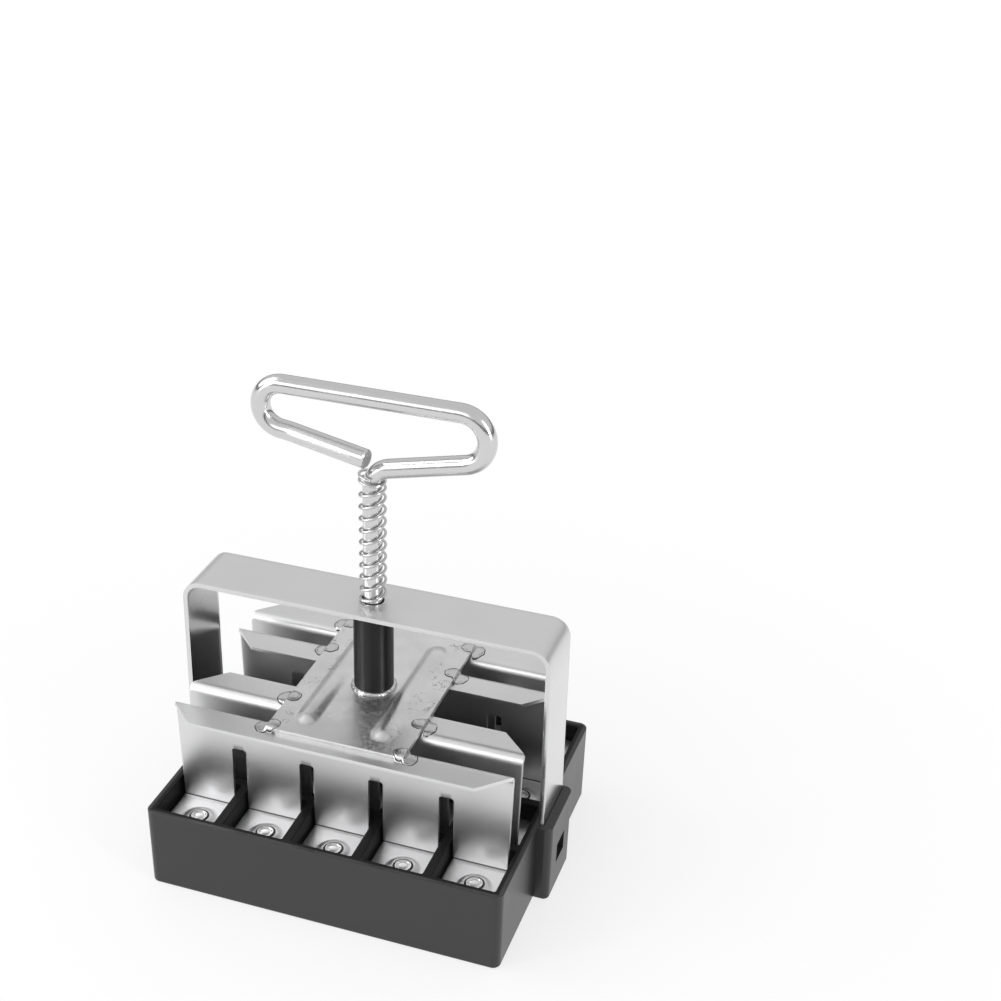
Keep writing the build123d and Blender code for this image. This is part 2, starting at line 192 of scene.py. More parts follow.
def scribbleMarks(tree, look, place):
    # thin wandering lines in groups, on the outer thirds of the plate only
    wander = pattern(tree, place, look["scribbleSize"], detail=3.0)
    offset = addNode(tree, "Math", {"operation": "SUBTRACT", 1: 0.5}, {0: wander})
    offLine = addNode(tree, "Math", {"operation": "ABSOLUTE"}, {0: offset})
    line = addNode(tree, "MapRange", fade(*look["scribbleLine"], 1.0, 0.0), {"Value": offLine})
    groups = pattern(tree, place, look["scribbleGroup"], detail=1.0)
    group = addNode(tree, "MapRange", fade(*look["scribbleGroupFade"]), {"Value": groups})
    along = addNode(tree, "SeparateXYZ", links={0: place}).outputs["X"]
    fromMiddle = addNode(tree, "Math", {"operation": "ABSOLUTE"}, {0: along})
    inner, run = look["scribbleBeyond"]
    beyond = addNode(tree, "Math", {"operation": "SUBTRACT", 1: inner}, {0: fromMiddle})
    outer = addNode(tree, "MapRange", fade(0.0, run), {"Value": beyond})
    allowed = addNode(tree, "Math", {"operation": "MULTIPLY"}, {0: group, 1: outer})
    lines = addNode(tree, "Math", {"operation": "MULTIPLY"}, {0: line, 1: allowed})
    return addNode(tree, "Math", {"operation": "MULTIPLY", 1: look["scribble"]}, {0: lines})


def brokenBand(tree, look, height):
    low, high, run = plateFoot + look["brokenFrom"], plateFoot + look["brokenTo"], look["brokenFade"]
    above = addNode(tree, "MapRange", fade(low, low + run), {"Value": height})
    below = addNode(tree, "MapRange", fade(high - run, high, 1.0, 0.0), {"Value": height})
    return addNode(tree, "Math", {"operation": "MULTIPLY"}, {0: above, 1: below})


def sheetNodes(tree, look):
    place = millimetres(tree)
    height = addNode(tree, "SeparateXYZ", links={0: place}).outputs["Z"]
    patches = pattern(tree, place, look["patch"], detail=1.0)
    dull = addNode(tree, "MapRange", fade(*allNoise), {"Value": patches})
    tones = {mixFrom: linearColour(look["tone"]), mixTo: linearColour(look["dullTone"])}
    colour = addNode(tree, "Mix", {"data_type": "RGBA", **tones}, {mixFactor: dull}).outputs[mixResult]
    limits = fade(0.0, 1.0, look["roughness"], look["dullRoughness"])
    roughness = addNode(tree, "MapRange", limits, {"Value": dull})
    if "legRoughness" in look:
        rubbed = [bandTop - below for below in look["legFade"]]
        limits = fade(*rubbed, look["legRoughness"] - look["roughness"], 0.0)
        roughness = shifted(tree, roughness, height, limits)
    scratches = []
    for turn, start in zip(look["scratchTurns"], look["scratchStarts"]):
        scratch = pattern(tree, place, look["scratch"], turn=turn)
        scratches.append(addNode(tree, "MapRange", fade(start, look["scratchFull"]), {"Value": scratch}))
    scratched = addNode(tree, "Math", {"operation": "MAXIMUM"}, dict(enumerate(scratches)))
    roughness = shifted(tree, roughness, scratched, fade(0.0, 1.0, 0.0, look["scratchRoughness"]))
    specks = pattern(tree, place, look["speck"], detail=3.0)
    limits = fade(*midNoise, -look["speckRoughness"], look["speckRoughness"])
    roughness = shifted(tree, roughness, specks, limits)
    if "scribble" in look:
        marks = scribbleMarks(tree, look, place)
        tones = {mixTo: linearColour(look["scribbleTone"])}
        links = {mixFactor: marks, mixFrom: colour}
        colour = addNode(tree, "Mix", {"data_type": "RGBA", **tones}, links).outputs[mixResult]
    if "brokenEdge" in look:
        broken = brokenBand(tree, look, height)
        tones = {mixTo: linearColour(look["brokenEdge"])}
        links = {mixFactor: broken, mixFrom: colour}
        colour = addNode(tree, "Mix", {"data_type": "RGBA", **tones}, links).outputs[mixResult]
        roughness = shifted(tree, roughness, broken, fade(0.0, 1.0, 0.0, look["brokenRoughness"]))
    # a dark line painted into the sheet's creases: painted shade
    creaseShade = addNode(tree, "Attribute", {"attribute_name": "creaseShade"}).outputs["Fac"]
    paintedShade = addNode(tree, "MapRange", fade(*look["creaseShadeFade"], 0.0, look["creaseShadeCover"]), {"Value": creaseShade})
    tones = {mixTo: linearColour(look["creaseShade"])}
    links = {mixFactor: paintedShade, mixFrom: colour}
    colour = addNode(tree, "Mix", {"data_type": "RGBA", **tones}, links).outputs[mixResult]
    rolling = pattern(tree, place, look["rollingLine"])
    grain = addNode(tree, "Bump", look["rollingBump"], {"Height": rolling})
    marks = addNode(tree, "Bump", look["scratchBump"], {"Height": scratched, "Normal": grain})
    finishMaterial(tree, {"Metallic": 1.0}, {"Base Color": colour, "Roughness": roughness, "Normal": marks})


# Drawn steel wire with bright zinc plating: near-mirror streaks along its length, broken by fine
# lines from the drawing die and small pits in the plating.
platedWire = {
    "tone": "#d2d2d2",
    "roughness": 0.17,
    "dullRoughness": 0.28,
    "patch": (6.0, 6.0, 14.0),  # across the wire, and along it
    "patchFade": (0.4, 0.7),
    "dieLine": (0.45, 0.45, 30.0),  # across and along
    "lineBump": {"Strength": 0.26, "Distance": 0.03 * mm},
    "pit": 0.5,
    "pitFade": (0.3, 0.42),
    "pitBump": {"Strength": 0.2, "Distance": 0.03 * mm},
}
# Hard-drawn spring wire is a little darker, and its die lines are finer.
springSteel = {
    **platedWire,
    "tone": "#cccccc",
    "roughness": 0.16,
    "dullRoughness": 0.26,
    "dieLine": (0.25, 0.25, 8.0),
}


def wireNodes(tree, look):
    place = addNode(tree, "Attribute", {"attribute_name": "alongWire"}).outputs["Vector"]
    lines = pattern(tree, place, look["dieLine"], detail=3.0)
    specks = pattern(tree, place, look["pit"], detail=1.0)
    pits = addNode(tree, "MapRange", fade(*look["pitFade"]), {"Value": specks})
    patches = pattern(tree, place, look["patch"])
    limits = fade(*look["patchFade"], look["roughness"], look["dullRoughness"])
    roughness = addNode(tree, "MapRange", limits, {"Value": patches})
    drawn = addNode(tree, "Bump", look["lineBump"], {"Height": lines})
    pitted = addNode(tree, "Bump", look["pitBump"], {"Height": pits, "Normal": drawn})
    fixed = {"Base Color": linearColour(look["tone"]), "Metallic": 1.0}
    finishMaterial(tree, fixed, {"Roughness": roughness, "Normal": pitted})


# Sheared wire end: the torn middle of the cut is matt and grey, with coarse grit.
shearedSteel = {
    "tone": "#d2d2d2",
    "dark": "#8e8e8e",
    "roughness": 0.55,
    "grit": 0.5,
    "gritBump": {"Strength": 0.5, "Distance": 0.1 * mm},
}


def shearedNodes(tree, look):
    grit = pattern(tree, millimetres(tree), look["grit"], detail=4.0)
    torn = addNode(tree, "MapRange", fade(*midNoise), {"Value": grit})
    tones = {mixFrom: linearColour(look["dark"]), mixTo: linearColour(look["tone"])}
    colour = addNode(tree, "Mix", {"data_type": "RGBA", **tones}, {mixFactor: torn}).outputs[mixResult]
    rough = addNode(tree, "Bump", look["gritBump"], {"Height": grit})
    fixed = {"Roughness": look["roughness"], "Metallic": 1.0}
    finishMaterial(tree, fixed, {"Base Color": colour, "Normal": rough})


# Black ABS from a spark-eroded mould: nearly black, with a soft sheen that turns grey where the
# walls are seen at a flat angle, and a fine even grain. Its cells and the rim's inner half are
# duller, and painted darker as painted shade.
mouldedAbs = {
    "tone": "#242424",
    "shadedCellTone": "#0d0d0d",
    "roughness": 0.34,
    "cellRoughness": 0.55,
    "gloss": 0.5,
    "cellGloss": 0.22,
    "ior": 1.53,
    "insideWalls": (57.4, 45.9),  # half the tray's length and width, to the middle of its outer wall
    "wallFade": 0.2,
    "grain": 0.3,
    "grainRoughness": 0.03,
    "grainBump": {"Strength": 0.10, "Distance": 0.05 * mm},
    "flow": 30.0,
    "flowRoughness": 0.02,
}


def trayNodes(tree, look):
    place = millimetres(tree)
    # 0 in the cells and on the rim's inner half, 1 on the outer walls
    along = addNode(tree, "SeparateXYZ", links={0: place})
    beyond = []
    for axis, wall in zip("XY", look["insideWalls"]):
        away = addNode(tree, "Math", {"operation": "ABSOLUTE"}, {0: along.outputs[axis]})
        beyond.append(addNode(tree, "Math", {"operation": "SUBTRACT", 1: wall}, {0: away}))
    further = addNode(tree, "Math", {"operation": "MAXIMUM"}, dict(enumerate(beyond)))
    outside = addNode(tree, "MapRange", fade(-look["wallFade"], look["wallFade"]), {"Value": further})
    # the cells and the rim's inner half get a darker tone: painted shade
    tones = {mixFrom: linearColour(look["shadedCellTone"]), mixTo: linearColour(look["tone"])}
    colour = addNode(tree, "Mix", {"data_type": "RGBA", **tones}, {mixFactor: outside}).outputs[mixResult]
    limits = fade(0.0, 1.0, look["cellGloss"], look["gloss"])
    gloss = addNode(tree, "MapRange", limits, {"Value": outside})
    limits = fade(0.0, 1.0, look["cellRoughness"], look["roughness"])
    roughness = addNode(tree, "MapRange", limits, {"Value": outside})
    grain = pattern(tree, place, look["grain"])
    flow = pattern(tree, place, look["flow"])
    for value, change in ((grain, look["grainRoughness"]), (flow, look["flowRoughness"])):
        roughness = shifted(tree, roughness, value, fade(*allNoise, -change, change))
    eroded = addNode(tree, "Bump", look["grainBump"], {"Height": grain})
    varied = {"Base Color": colour, "Roughness": roughness, "Specular IOR Level": gloss, "Normal": eroded}
    finishMaterial(tree, {"IOR": look["ior"]}, varied)


# Steel tube, powder coated: deep black and satin. Fine turning rings under the coat draw its
# highlights out along the tube.
powderCoat = {
    "tone": "#040404",
    "roughness": 0.44,
    "ior": 1.5,
    "stretch": 0.95,
    "stretchTurn": 0.25,
    "orangePeel": 1.2,
    "peelBump": {"Strength": 0.04, "Distance": 0.03 * mm},
}


def coatNodes(tree, look):
    peel = pattern(tree, millimetres(tree), look["orangePeel"], detail=1.0)
    skin = addNode(tree, "Bump", look["peelBump"], {"Height": peel})
    around = addNode(tree, "Tangent", {"direction_type": "RADIAL", "axis": "Z"})
    fixed = {
        "Base Color": linearColour(look["tone"]),
        "Roughness": look["roughness"],
        "IOR": look["ior"],
        "Anisotropic": look["stretch"],
        "Anisotropic Rotation": look["stretchTurn"],
    }
    finishMaterial(tree, fixed, {"Normal": skin, "Tangent": around})


# Weld metal: frozen ripples, about as bright as the sheet, with thin dark lines of scale where each
# puddle stopped.
weldMetal = {
    "tone": "#cfcfcf",
    "scale": "#3c3b3a",
    "roughness": 0.27,
    "scaleRoughness": 0.5,
    "breaks": 1.6,
    # place between a puddle's middle and its rim, width, darkness, where it is broken, what is left
    "scaleLines": (
        {"out": 0.9, "width": (0.035, 0.075), "dark": 1.0, "broken": (0.34, 0.48), "left": 0.3},
        {"out": 0.66, "width": (0.02, 0.06), "dark": 0.8, "broken": (0.5, 0.58), "left": 0.0},
    ),
    "ripple": 0.7,
    "rippleBump": {"Strength": 0.35, "Distance": 0.08 * mm},
}


def weldNodes(tree, look):
    place = millimetres(tree)
    rim = addNode(tree, "Attribute", {"attribute_name": "puddleRim"}).outputs["Fac"]
    breaks = pattern(tree, place, look["breaks"], detail=1.0)
    lines = []
    for line in look["scaleLines"]:
        offset = addNode(tree, "Math", {"operation": "SUBTRACT", 1: line["out"]}, {0: rim})
        offLine = addNode(tree, "Math", {"operation": "ABSOLUTE"}, {0: offset})
        whole = addNode(tree, "MapRange", fade(*line["width"], line["dark"], 0.0), {"Value": offLine})
        kept = addNode(tree, "MapRange", fade(*line["broken"], line["left"], 1.0), {"Value": breaks})
        lines.append(addNode(tree, "Math", {"operation": "MULTIPLY"}, {0: whole, 1: kept}))
    scale = addNode(tree, "Math", {"operation": "MAXIMUM"}, dict(enumerate(lines)))
    tones = {mixFrom: linearColour(look["tone"]), mixTo: linearColour(look["scale"])}
    colour = addNode(tree, "Mix", {"data_type": "RGBA", **tones}, {mixFactor: scale}).outputs[mixResult]
    limits = fade(0.0, 1.0, look["roughness"], look["scaleRoughness"])
    roughness = addNode(tree, "MapRange", limits, {"Value": scale})
    ripple = pattern(tree, place, look["ripple"])
    rippled = addNode(tree, "Bump", look["rippleBump"], {"Height": ripple})
    varied = {"Base Color": colour, "Roughness": roughness, "Normal": rippled}
    finishMaterial(tree, {"Metallic": 1.0}, varied)


# Rivet steel: turned, then upset in a press, so it is smooth with faint marks.
rivetSteel = {
    "tone": "#d4d4d4",
    "roughness": (0.12, 0.25),
    "mark": 0.3,
    "markBump": {"Strength": 0.08, "Distance": 0.04 * mm},
}


def rivetNodes(tree, look):
    marks = pattern(tree, millimetres(tree), look["mark"])
    roughness = addNode(tree, "MapRange", fade(*allNoise, *look["roughness"]), {"Value": marks})
    pressed = addNode(tree, "Bump", look["markBump"], {"Height": marks})
    fixed = {"Base Color": linearColour(look["tone"]), "Metallic": 1.0}
    finishMaterial(tree, fixed, {"Roughness": roughness, "Normal": pressed})


# A dark, dull line round each rivet's head: painted contact shadow in the joint, and soil packed there.
jointShadowAndSoil = {"tone": "#302f2e", "roughness": 0.6}


def shadowAndSoilNodes(tree, look):
    finishMaterial(tree, {"Base Color": linearColour(look["tone"]), "Roughness": look["roughness"]}, {})


sheetSteel = makeMaterial("rolledSheetSteel", sheetNodes, rolledSheet)
plateSteel = makeMaterial("brushedPlateSteel", sheetNodes, brushedPlate)
bandSteel = makeMaterial("tumbledStripSteel", sheetNodes, tumbledStrip)
wireSteel = makeMaterial("platedWire", wireNodes, platedWire)
springWire = makeMaterial("springSteel", wireNodes, springSteel)
shearedEnd = makeMaterial("shearedSteel", shearedNodes, shearedSteel)
blackAbs = makeMaterial("mouldedAbs", trayNodes, mouldedAbs)
blackCoat = makeMaterial("powderCoat", coatNodes, powderCoat)
weldBead = makeMaterial("weldMetal", weldNodes, weldMetal)
rivet = makeMaterial("rivetSteel", rivetNodes, rivetSteel)
jointSoil = makeMaterial("jointShadowAndSoil", shadowAndSoilNodes, jointShadowAndSoil)
print("materials made")


# From here on lengths are in millimetres, as far as makePiece, which turns them to metres.
def inMillimetres(corners):
    return [corner / mm for corner in corners]


def makePiece(name, points, faces, *materials):
    mesh = bpy.data.meshes.new(name)
    mesh.from_pydata([Vector(point) * mm for point in points], [], faces)
    for material in materials:
        mesh.materials.append(material)
    mesh.validate()
    piece = bpy.data.objects.new(name, mesh)
    bpy.context.scene.collection.objects.link(piece)
    return piece


def smooth(piece, sharpAngle=35.0):
    piece.data.shade_smooth()
    piece.data.set_sharp_from_angle(angle=math.radians(sharpAngle))


def addModifier(piece, kind, settings):
    modifier = piece.modifiers.new(kind.lower(), kind)
    for key, value in settings.items():
        setattr(modifier, key, value)


def bakeModifiers(piece):
    depsgraph = bpy.context.evaluated_depsgraph_get()
    baked = bpy.data.meshes.new_from_object(piece.evaluated_get(depsgraph), depsgraph=depsgraph)
    piece.modifiers.clear()
    piece.data = baked


def settle(piece, body, slot, *nodes):
    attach(piece, body)
    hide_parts(*nodes)


def spread(start, end, count):
    return [start + (end - start) * i / count for i in range(count + 1)]


def eased(low, high, value):
    share = min(max((value - low) / (high - low), 0.0), 1.0)
    return share * share * (3 - 2 * share)


def rounding(radius, into):
    # how far a round corner has left its straight line, at this distance into the corner
    return radius - math.sqrt(max(radius**2 - into**2, 0.0))


def circle(radius, z, sides, x=0.0, y=0.0):
    angles = [2 * math.pi * side / sides for side in range(sides)]
    return [(x + radius * math.cos(angle), y + radius * math.sin(angle), z) for angle in angles]


def gridFaces(rowCount, columnCount, present):
    starts = [
        row * columnCount + column
        for row in range(rowCount - 1)
        for column in range(columnCount - 1)
        if present(row, column)
    ]
    return [(first, first + 1, first + columnCount + 1, first + columnCount) for first in starts]


def ringFaces(rings, sides):
    faces = []
    for ring in range(rings - 1):
        below, above = ring * sides, (ring + 1) * sides
        for side in range(sides):
            beside = (side + 1) % sides
            faces.append((below + side, below + beside, above + beside, above + side))
    return faces


def capFaces(rings, sides):
    last = (rings - 1) * sides
    return [tuple(range(sides))[::-1], tuple(range(last, last + sides))]


def roundCutter(radius, low, high, sides=48):
    points = circle(radius, low, sides) + circle(radius, high, sides)
    return makePiece("cutter", points, capFaces(2, sides) + ringFaces(2, sides))


def boxCutter(low, high):
    corners = [(x, y, z) for x in (low[0], high[0]) for y in (low[1], high[1]) for z in (low[2], high[2])]
    faces = [(0, 1, 3, 2), (4, 6, 7, 5), (0, 4, 5, 1), (2, 3, 7, 6), (0, 2, 6, 4), (1, 5, 7, 3)]
    return makePiece("cutter", corners, faces)


def sheetPiece(name, rows, look, material, cutters=(), present=lambda row, column: True, creaseShades=None):
    # a sheet given by rows of points on its middle, made solid, drilled and eased at its edges
    points = [point for row in rows for point in row]
    faces = gridFaces(len(rows), len(rows[0]), present)
    used = sorted({index for face in faces for index in face})
    order = {index: place for place, index in enumerate(used)}
    faces = [[order[index] for index in face] for face in faces]
    piece = makePiece(name, [points[index] for index in used], faces, material)
    # rows marked here get a painted dark line of shade from the material
    if creaseShades:
        perPoint = [creaseShade for creaseShade, row in zip(creaseShades, rows) for point in row]
        attribute = piece.data.attributes.new("creaseShade", "FLOAT", "POINT")
        attribute.data.foreach_set("value", [perPoint[index] for index in used])
    thickness = look["thickness"] * mm
    addModifier(piece, "SOLIDIFY", {"thickness": thickness, "offset": 0.0, "use_even_offset": True})
    for cutter in cutters:
        addModifier(piece, "BOOLEAN", {"operation": "DIFFERENCE", "object": cutter, "solver": "EXACT"})
    edges = {"limit_method": "ANGLE", "angle_limit": math.radians(55), "harden_normals": False}
    addModifier(piece, "BEVEL", {"width": look["edgeRound"] * mm, "segments": 3, **edges})
    bakeModifiers(piece)
    for cutter in cutters:
        bpy.data.objects.remove(cutter)
    smooth(piece)
    return piece


def wirePiece(name, path, radius, look, upright, material):
    # a wire swept along path. "alongWire" holds each point's place round the wire and along it
    sides, ease = look["sides"], look["cutEase"]
    around = [place[:2] for place in circle(1.0, 0.0, sides)]
    before, after = [path[0]] + path[:-1], path[1:] + [path[-1]]
    tangents = [(ahead - behind).normalized() for behind, ahead in zip(before, after)]
    stations, length = [], 0.0
    for behind, point, tangent in zip(before, path, tangents):
        length += (point - behind).length
        stations.append((point, tangent, length, radius))
    # a smaller ring closes each cut end, where the edge is eased
    first, last = tangents[0], tangents[-1]
    stations[0] = (path[0] + first * ease, first, ease, radius)
    stations[-1] = (path[-1] - last * ease, last, length - ease, radius)
    stations.insert(0, (path[0], first, 0.0, radius - ease))
    stations.append((path[-1], last, length, radius - ease))
    points, places = [], []
    for centre, tangent, along, ring in stations:
        sideways = tangent.cross(upright).normalized()
        upwards = sideways.cross(tangent)
        for across, above in around:
            points.append(centre + sideways * (ring * across) + upwards * (ring * above))
            places += (radius * across, radius * above, along)
    faces = ringFaces(len(stations), sides) + capFaces(len(stations), sides)
    piece = makePiece(name, points, faces, material, shearedEnd)
    piece.data.attributes.new("alongWire", "FLOAT_VECTOR", "POINT").data.foreach_set("vector", places)
    for face in piece.data.polygons[-2:]:
        face.material_index = 1
    smooth(piece)
    return piece


# The tray's moulding keeps its own shape, and gets its finish here.
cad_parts["cell_tray"].data.materials.clear()
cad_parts["cell_tray"].data.materials.append(blackAbs)
print("tray finished")


carryBand = {
    "thickness": 1.5,
    "insideCorner": 4.6,
    "rodHole": 3.5,
    "legEnd": 1.5,  # radius of the corners at the legs' ends
    "legEndRows": (0.0, 0.2, 0.5, 0.9),
    "lugHole": (6.0, 5.2),
    "lugHoleMiddle": 13.3,
    "edgeRound": 0.28,
    "unevenness": 0.02,
    "unevenLength": 30.0,
    "steps": {"leg": 24, "corner": 16, "top": 50, "width": 14},
}


def buildBand():
    look, steps = carryBand, carryBand["steps"]
    low, high = inMillimetres(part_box("carry_band"))
    half = look["thickness"] / 2
    reach, top, bottom = high.x - half, high.z - half, low.z
    corner, wave = look["insideCorner"] + half, look["unevenLength"]
    heights = [bottom + rise for rise in look["legEndRows"]]
    heights += spread(bottom + look["legEnd"], top - corner, steps["leg"])
    side = [(reach, z) for z in heights]
    side += [
        (reach - corner + corner * math.cos(angle), top - corner + corner * math.sin(angle))
        for angle in spread(0.0, math.pi / 2, steps["corner"])[1:]
    ]
    path = side + [(x, top) for x in spread(reach - corner, corner - reach, steps["top"])[1:-1]]
    path += [(-x, z) for x, z in reversed(side)]
    rows = []
    for x, z in path:
        width = high.y - rounding(look["legEnd"], max(look["legEnd"] - (z - bottom), 0.0))
        onTop = eased(top - corner, top, z)
        row = []
        for y in spread(-width, width, steps["width"]):
            uneven = look["unevenness"] * noise.noise((x / wave, y / wave, z / wave))
            row.append((x + uneven * (1 - onTop), y, z + uneven * onTop))
        rows.append(row)
    cutters = [roundCutter(look["rodHole"], top - 3, top + 3)]
    holeWidth, holeHeight = look["lugHole"]
    holeLow = look["lugHoleMiddle"] - holeHeight / 2
    holeHigh = look["lugHoleMiddle"] + holeHeight / 2
    for x in (-reach, reach):
        cutters.append(boxCutter((x - 2, -holeWidth / 2, holeLow), (x + 2, holeWidth / 2, holeHigh)))
    band = sheetPiece("carryBand", rows, look, bandSteel, cutters)
    settle(band, "frame", "sheet_steel", "carry_band")


buildBand()
print("carry band made")


plungerPlate = {
    "thickness": 1.4,
    "corner": 1.5,
    "cornerRows": (0.04, 0.15, 0.35, 0.65),  # as shares of the corner
    "rodHole": 3.05,
    "ribOffset": 12.5,
    "ribSetback": 7.1,
    "ribWidth": 6.4,
    "ribRise": 1.5,
    "ribCrown": 0.3,  # half width of the rib's top
    "ribFoot": 4.2,  # half width of its soft foot
    "ribRunout": 0.72,  # less than 1 draws its ends out
    "edgeRound": 0.25,
    "step": 0.55,
    "unevenness": 0.02,
    "unevenLength": 16.0,
}


def buildPlate():
    look = plungerPlate
    low, high = inMillimetres(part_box("plunger_plate"))
    middle = low.z + look["thickness"] / 2
    ribEnd = high.y - look["ribSetback"] - look["ribWidth"] / 2
    wave = look["unevenLength"]

    def height(x, y):
        fromRib = math.hypot(abs(x) - look["ribOffset"], look["ribRunout"] * max(abs(y) - ribEnd, 0.0))
        rib = look["ribRise"] * (1 - eased(look["ribCrown"], look["ribFoot"], fromRib))
        return middle + rib + look["unevenness"] * noise.noise((x / wave, y / wave, 3.0))

    lines = spread(-high.y, high.y, int(2 * high.y / look["step"]))
    ends = [high.y - look["corner"] * share for share in look["cornerRows"]]
    rows = []
    for y in sorted(lines + ends + [-end for end in ends]):
        width = high.x - rounding(look["corner"], max(abs(y) - (high.y - look["corner"]), 0.0))
        rows.append([(x, y, height(x, y)) for x in spread(-width, width, int(2 * high.x / look["step"]))])
    cutters = [roundCutter(look["rodHole"], low.z - 2, high.z + 2)]
    plate = sheetPiece("plungerPlate", rows, look, plateSteel, cutters)
    settle(plate, "plunger", "sheet_steel", "plunger_plate")


buildPlate()
print("plunger plate made")


comb = {
    "columns": 5,
    "pitch": 23.0,
    "thickness": 1.2,
    "flangeWidth": 10.0,
    "flangeCut": 9.0,
    "flangeBend": 2.0,
    "footBend": 0.6,
    "footCorner": 2.0,
    "footCornerRows": (0.25, 0.5, 0.75, 0.9, 0.98, 1.0),  # as shares of the corner, like the next
    "slotCornerRows": (0.05, 0.2, 0.5, 1.0),
    "slotWidth": 4.8,
    "slotTop": 44.7,
    "slotCorner": 1.0,
    "endTaper": 1.0,
    "seatSetback": 9.6,
    "seatShift": 1.2,
    "seatRadius": 5.6,
    "seatTop": 2.9,
    "seatRise": 0.8,
    "creaseShadeRows": 3,
    "edgeRound": 0.2,
    "unevenness": 0.02,
    "unevenLength": 22.0,
    "unevenRise": (0.5, 0.2),  # share of it that is upright, above the slots and below
    "steps": {"flange": 12, "bend": 8, "neck": 6, "blade": 14, "heel": 6, "foot": 24, "tooth": 36, "slot": 4},
}


def combLines(low, high):
    # where the profile turns, on the middle of the sheet: heights, radii and distances to the front
    half = comb["thickness"] / 2
    return {
        "top": high.z - half,
        "foot": low.z + half,
        "bend": comb["flangeBend"] + half,
        "heel": comb["footBend"] + half,
        "flangeFront": comb["flangeWidth"] + half,
        "footFront": high.y - low.y - half,
    }


def combProfile(lines):
    # from the flange's front edge to the foot's: distance in front of the blade, and height
    steps, slotTop, slotCorner = comb["steps"], comb["slotTop"], comb["slotCorner"]
    top, foot, bend, heel = lines["top"], lines["foot"], lines["bend"], lines["heel"]
    footFront, footCorner = lines["footFront"], comb["footCorner"]
    profile = [(out, top) for out in spread(lines["flangeFront"], bend, steps["flange"])]
    profile += [
        (bend - bend * math.sin(angle), top - bend + bend * math.cos(angle))
        for angle in spread(0.0, math.pi / 2, steps["bend"])[1:]
    ]
    profile += [(0.0, z) for z in spread(top - bend, slotTop, steps["neck"])[1:]]
    profile += [(0.0, slotTop - slotCorner * share) for share in comb["slotCornerRows"]]
    profile += [(0.0, z) for z in spread(slotTop - slotCorner, foot + heel, steps["blade"])[1:]]
    profile += [
        (heel - heel * math.cos(angle), foot + heel - heel * math.sin(angle))
        for angle in spread(0.0, math.pi / 2, steps["heel"])[1:]
    ]
    profile += [(out, foot) for out in spread(heel, footFront - footCorner, steps["foot"])[1:]]
    return profile + [(footFront - footCorner * (1 - share), foot) for share in comb["footCornerRows"]]


def combRow(out, z, onFlange, lines, toothMiddles, widest):
    # places across one row, in even steps over each tooth and each slot
    look, steps = comb, comb["steps"]
    toothHalf = (look["pitch"] - look["slotWidth"]) / 2
    neck = lines["top"] - lines["bend"]
    endHalf = widest - look["endTaper"] * min(max((neck - z) / (neck - lines["foot"]), 0.0), 1.0)
    if onFlange:
        endHalf -= max(out - (lines["flangeFront"] - look["flangeCut"]), 0.0)
    intoSlotCorner = min(max(z - (look["slotTop"] - look["slotCorner"]), 0.0), look["slotCorner"])
    closing = rounding(look["slotCorner"], intoSlotCorner)
    intoFootCorner = max(out - (lines["footFront"] - look["footCorner"]), 0.0) if z < look["slotTop"] else 0.0
    pinch = rounding(look["footCorner"], intoFootCorner)
    edges = [[x - toothHalf - closing + pinch, x + toothHalf + closing - pinch] for x in toothMiddles]
    edges[0][0], edges[-1][1] = pinch - endHalf, endHalf - pinch
    across = spread(*edges[0], steps["tooth"])
    for (_, before), (left, right) in zip(edges, edges[1:]):
        across += spread(before, left, steps["slot"])[1:-1] + spread(left, right, steps["tooth"])
    if onFlange and endHalf < toothMiddles[-1] + toothHalf:
        across = [x * endHalf / widest for x in spread(-widest, widest, len(across) - 1)]
    return across


def buildComb(number):
    look, steps = comb, comb["steps"]
    low, high = inMillimetres(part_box(f"comb_row_{number}"))
    facing = -1 if number % 2 else 1
    bladeFront = high.y - look["thickness"] if facing < 0 else low.y + look["thickness"]
    middle = bladeFront - facing * look["thickness"] / 2
    lines = combLines(low, high)
    profile = combProfile(lines)
    toothMiddles = [(i - (look["columns"] - 1) / 2) * look["pitch"] for i in range(look["columns"])]
    pinPlaces = [x - facing * look["seatShift"] for x in toothMiddles]
    seatOut = look["thickness"] / 2 + look["seatSetback"]
    wave = look["unevenLength"]
    rows = []
    for order, (out, z) in enumerate(profile):
        onFlange = order < steps["flange"] + steps["bend"]
        seatRise = look["seatRise"] if z < lines["foot"] + 0.1 else 0.0
        upright = look["unevenRise"][0 if z > look["slotTop"] else 1]
        row = []
        for x in combRow(out, z, onFlange, lines, toothMiddles, high.x):
            seat = min(math.hypot(x - pin, out - seatOut) for pin in pinPlaces)
            rise = seatRise * (1 - eased(look["seatTop"], look["seatRadius"], seat))
            uneven = look["unevenness"] * noise.noise((x / wave, out / wave + 5 * number, z / wave))
            row.append((x, middle + facing * out + uneven, z + rise + uneven * upright))
        rows.append(row)
    aboveSlots = [z > look["slotTop"] - 0.001 for out, z in profile]
    group = steps["tooth"] + steps["slot"]

    def present(row, column):
        return (aboveSlots[row] and aboveSlots[row + 1]) or column % group < steps["tooth"]

    # the inner bend at the foot gets a painted dark line of shade
    inHeel = [z < lines["foot"] + lines["heel"] - 0.001 for out, z in profile]
    first = inHeel.index(True)
    creaseShades = [1.0 if first <= row < first + look["creaseShadeRows"] else 0.0 for row in range(len(rows))]
    piece = sheetPiece(f"comb{number}", rows, look, sheetSteel, present=present, creaseShades=creaseShades)
    settle(piece, "plunger", "sheet_steel", f"comb_row_{number}")
    return pinPlaces, facing, bladeFront


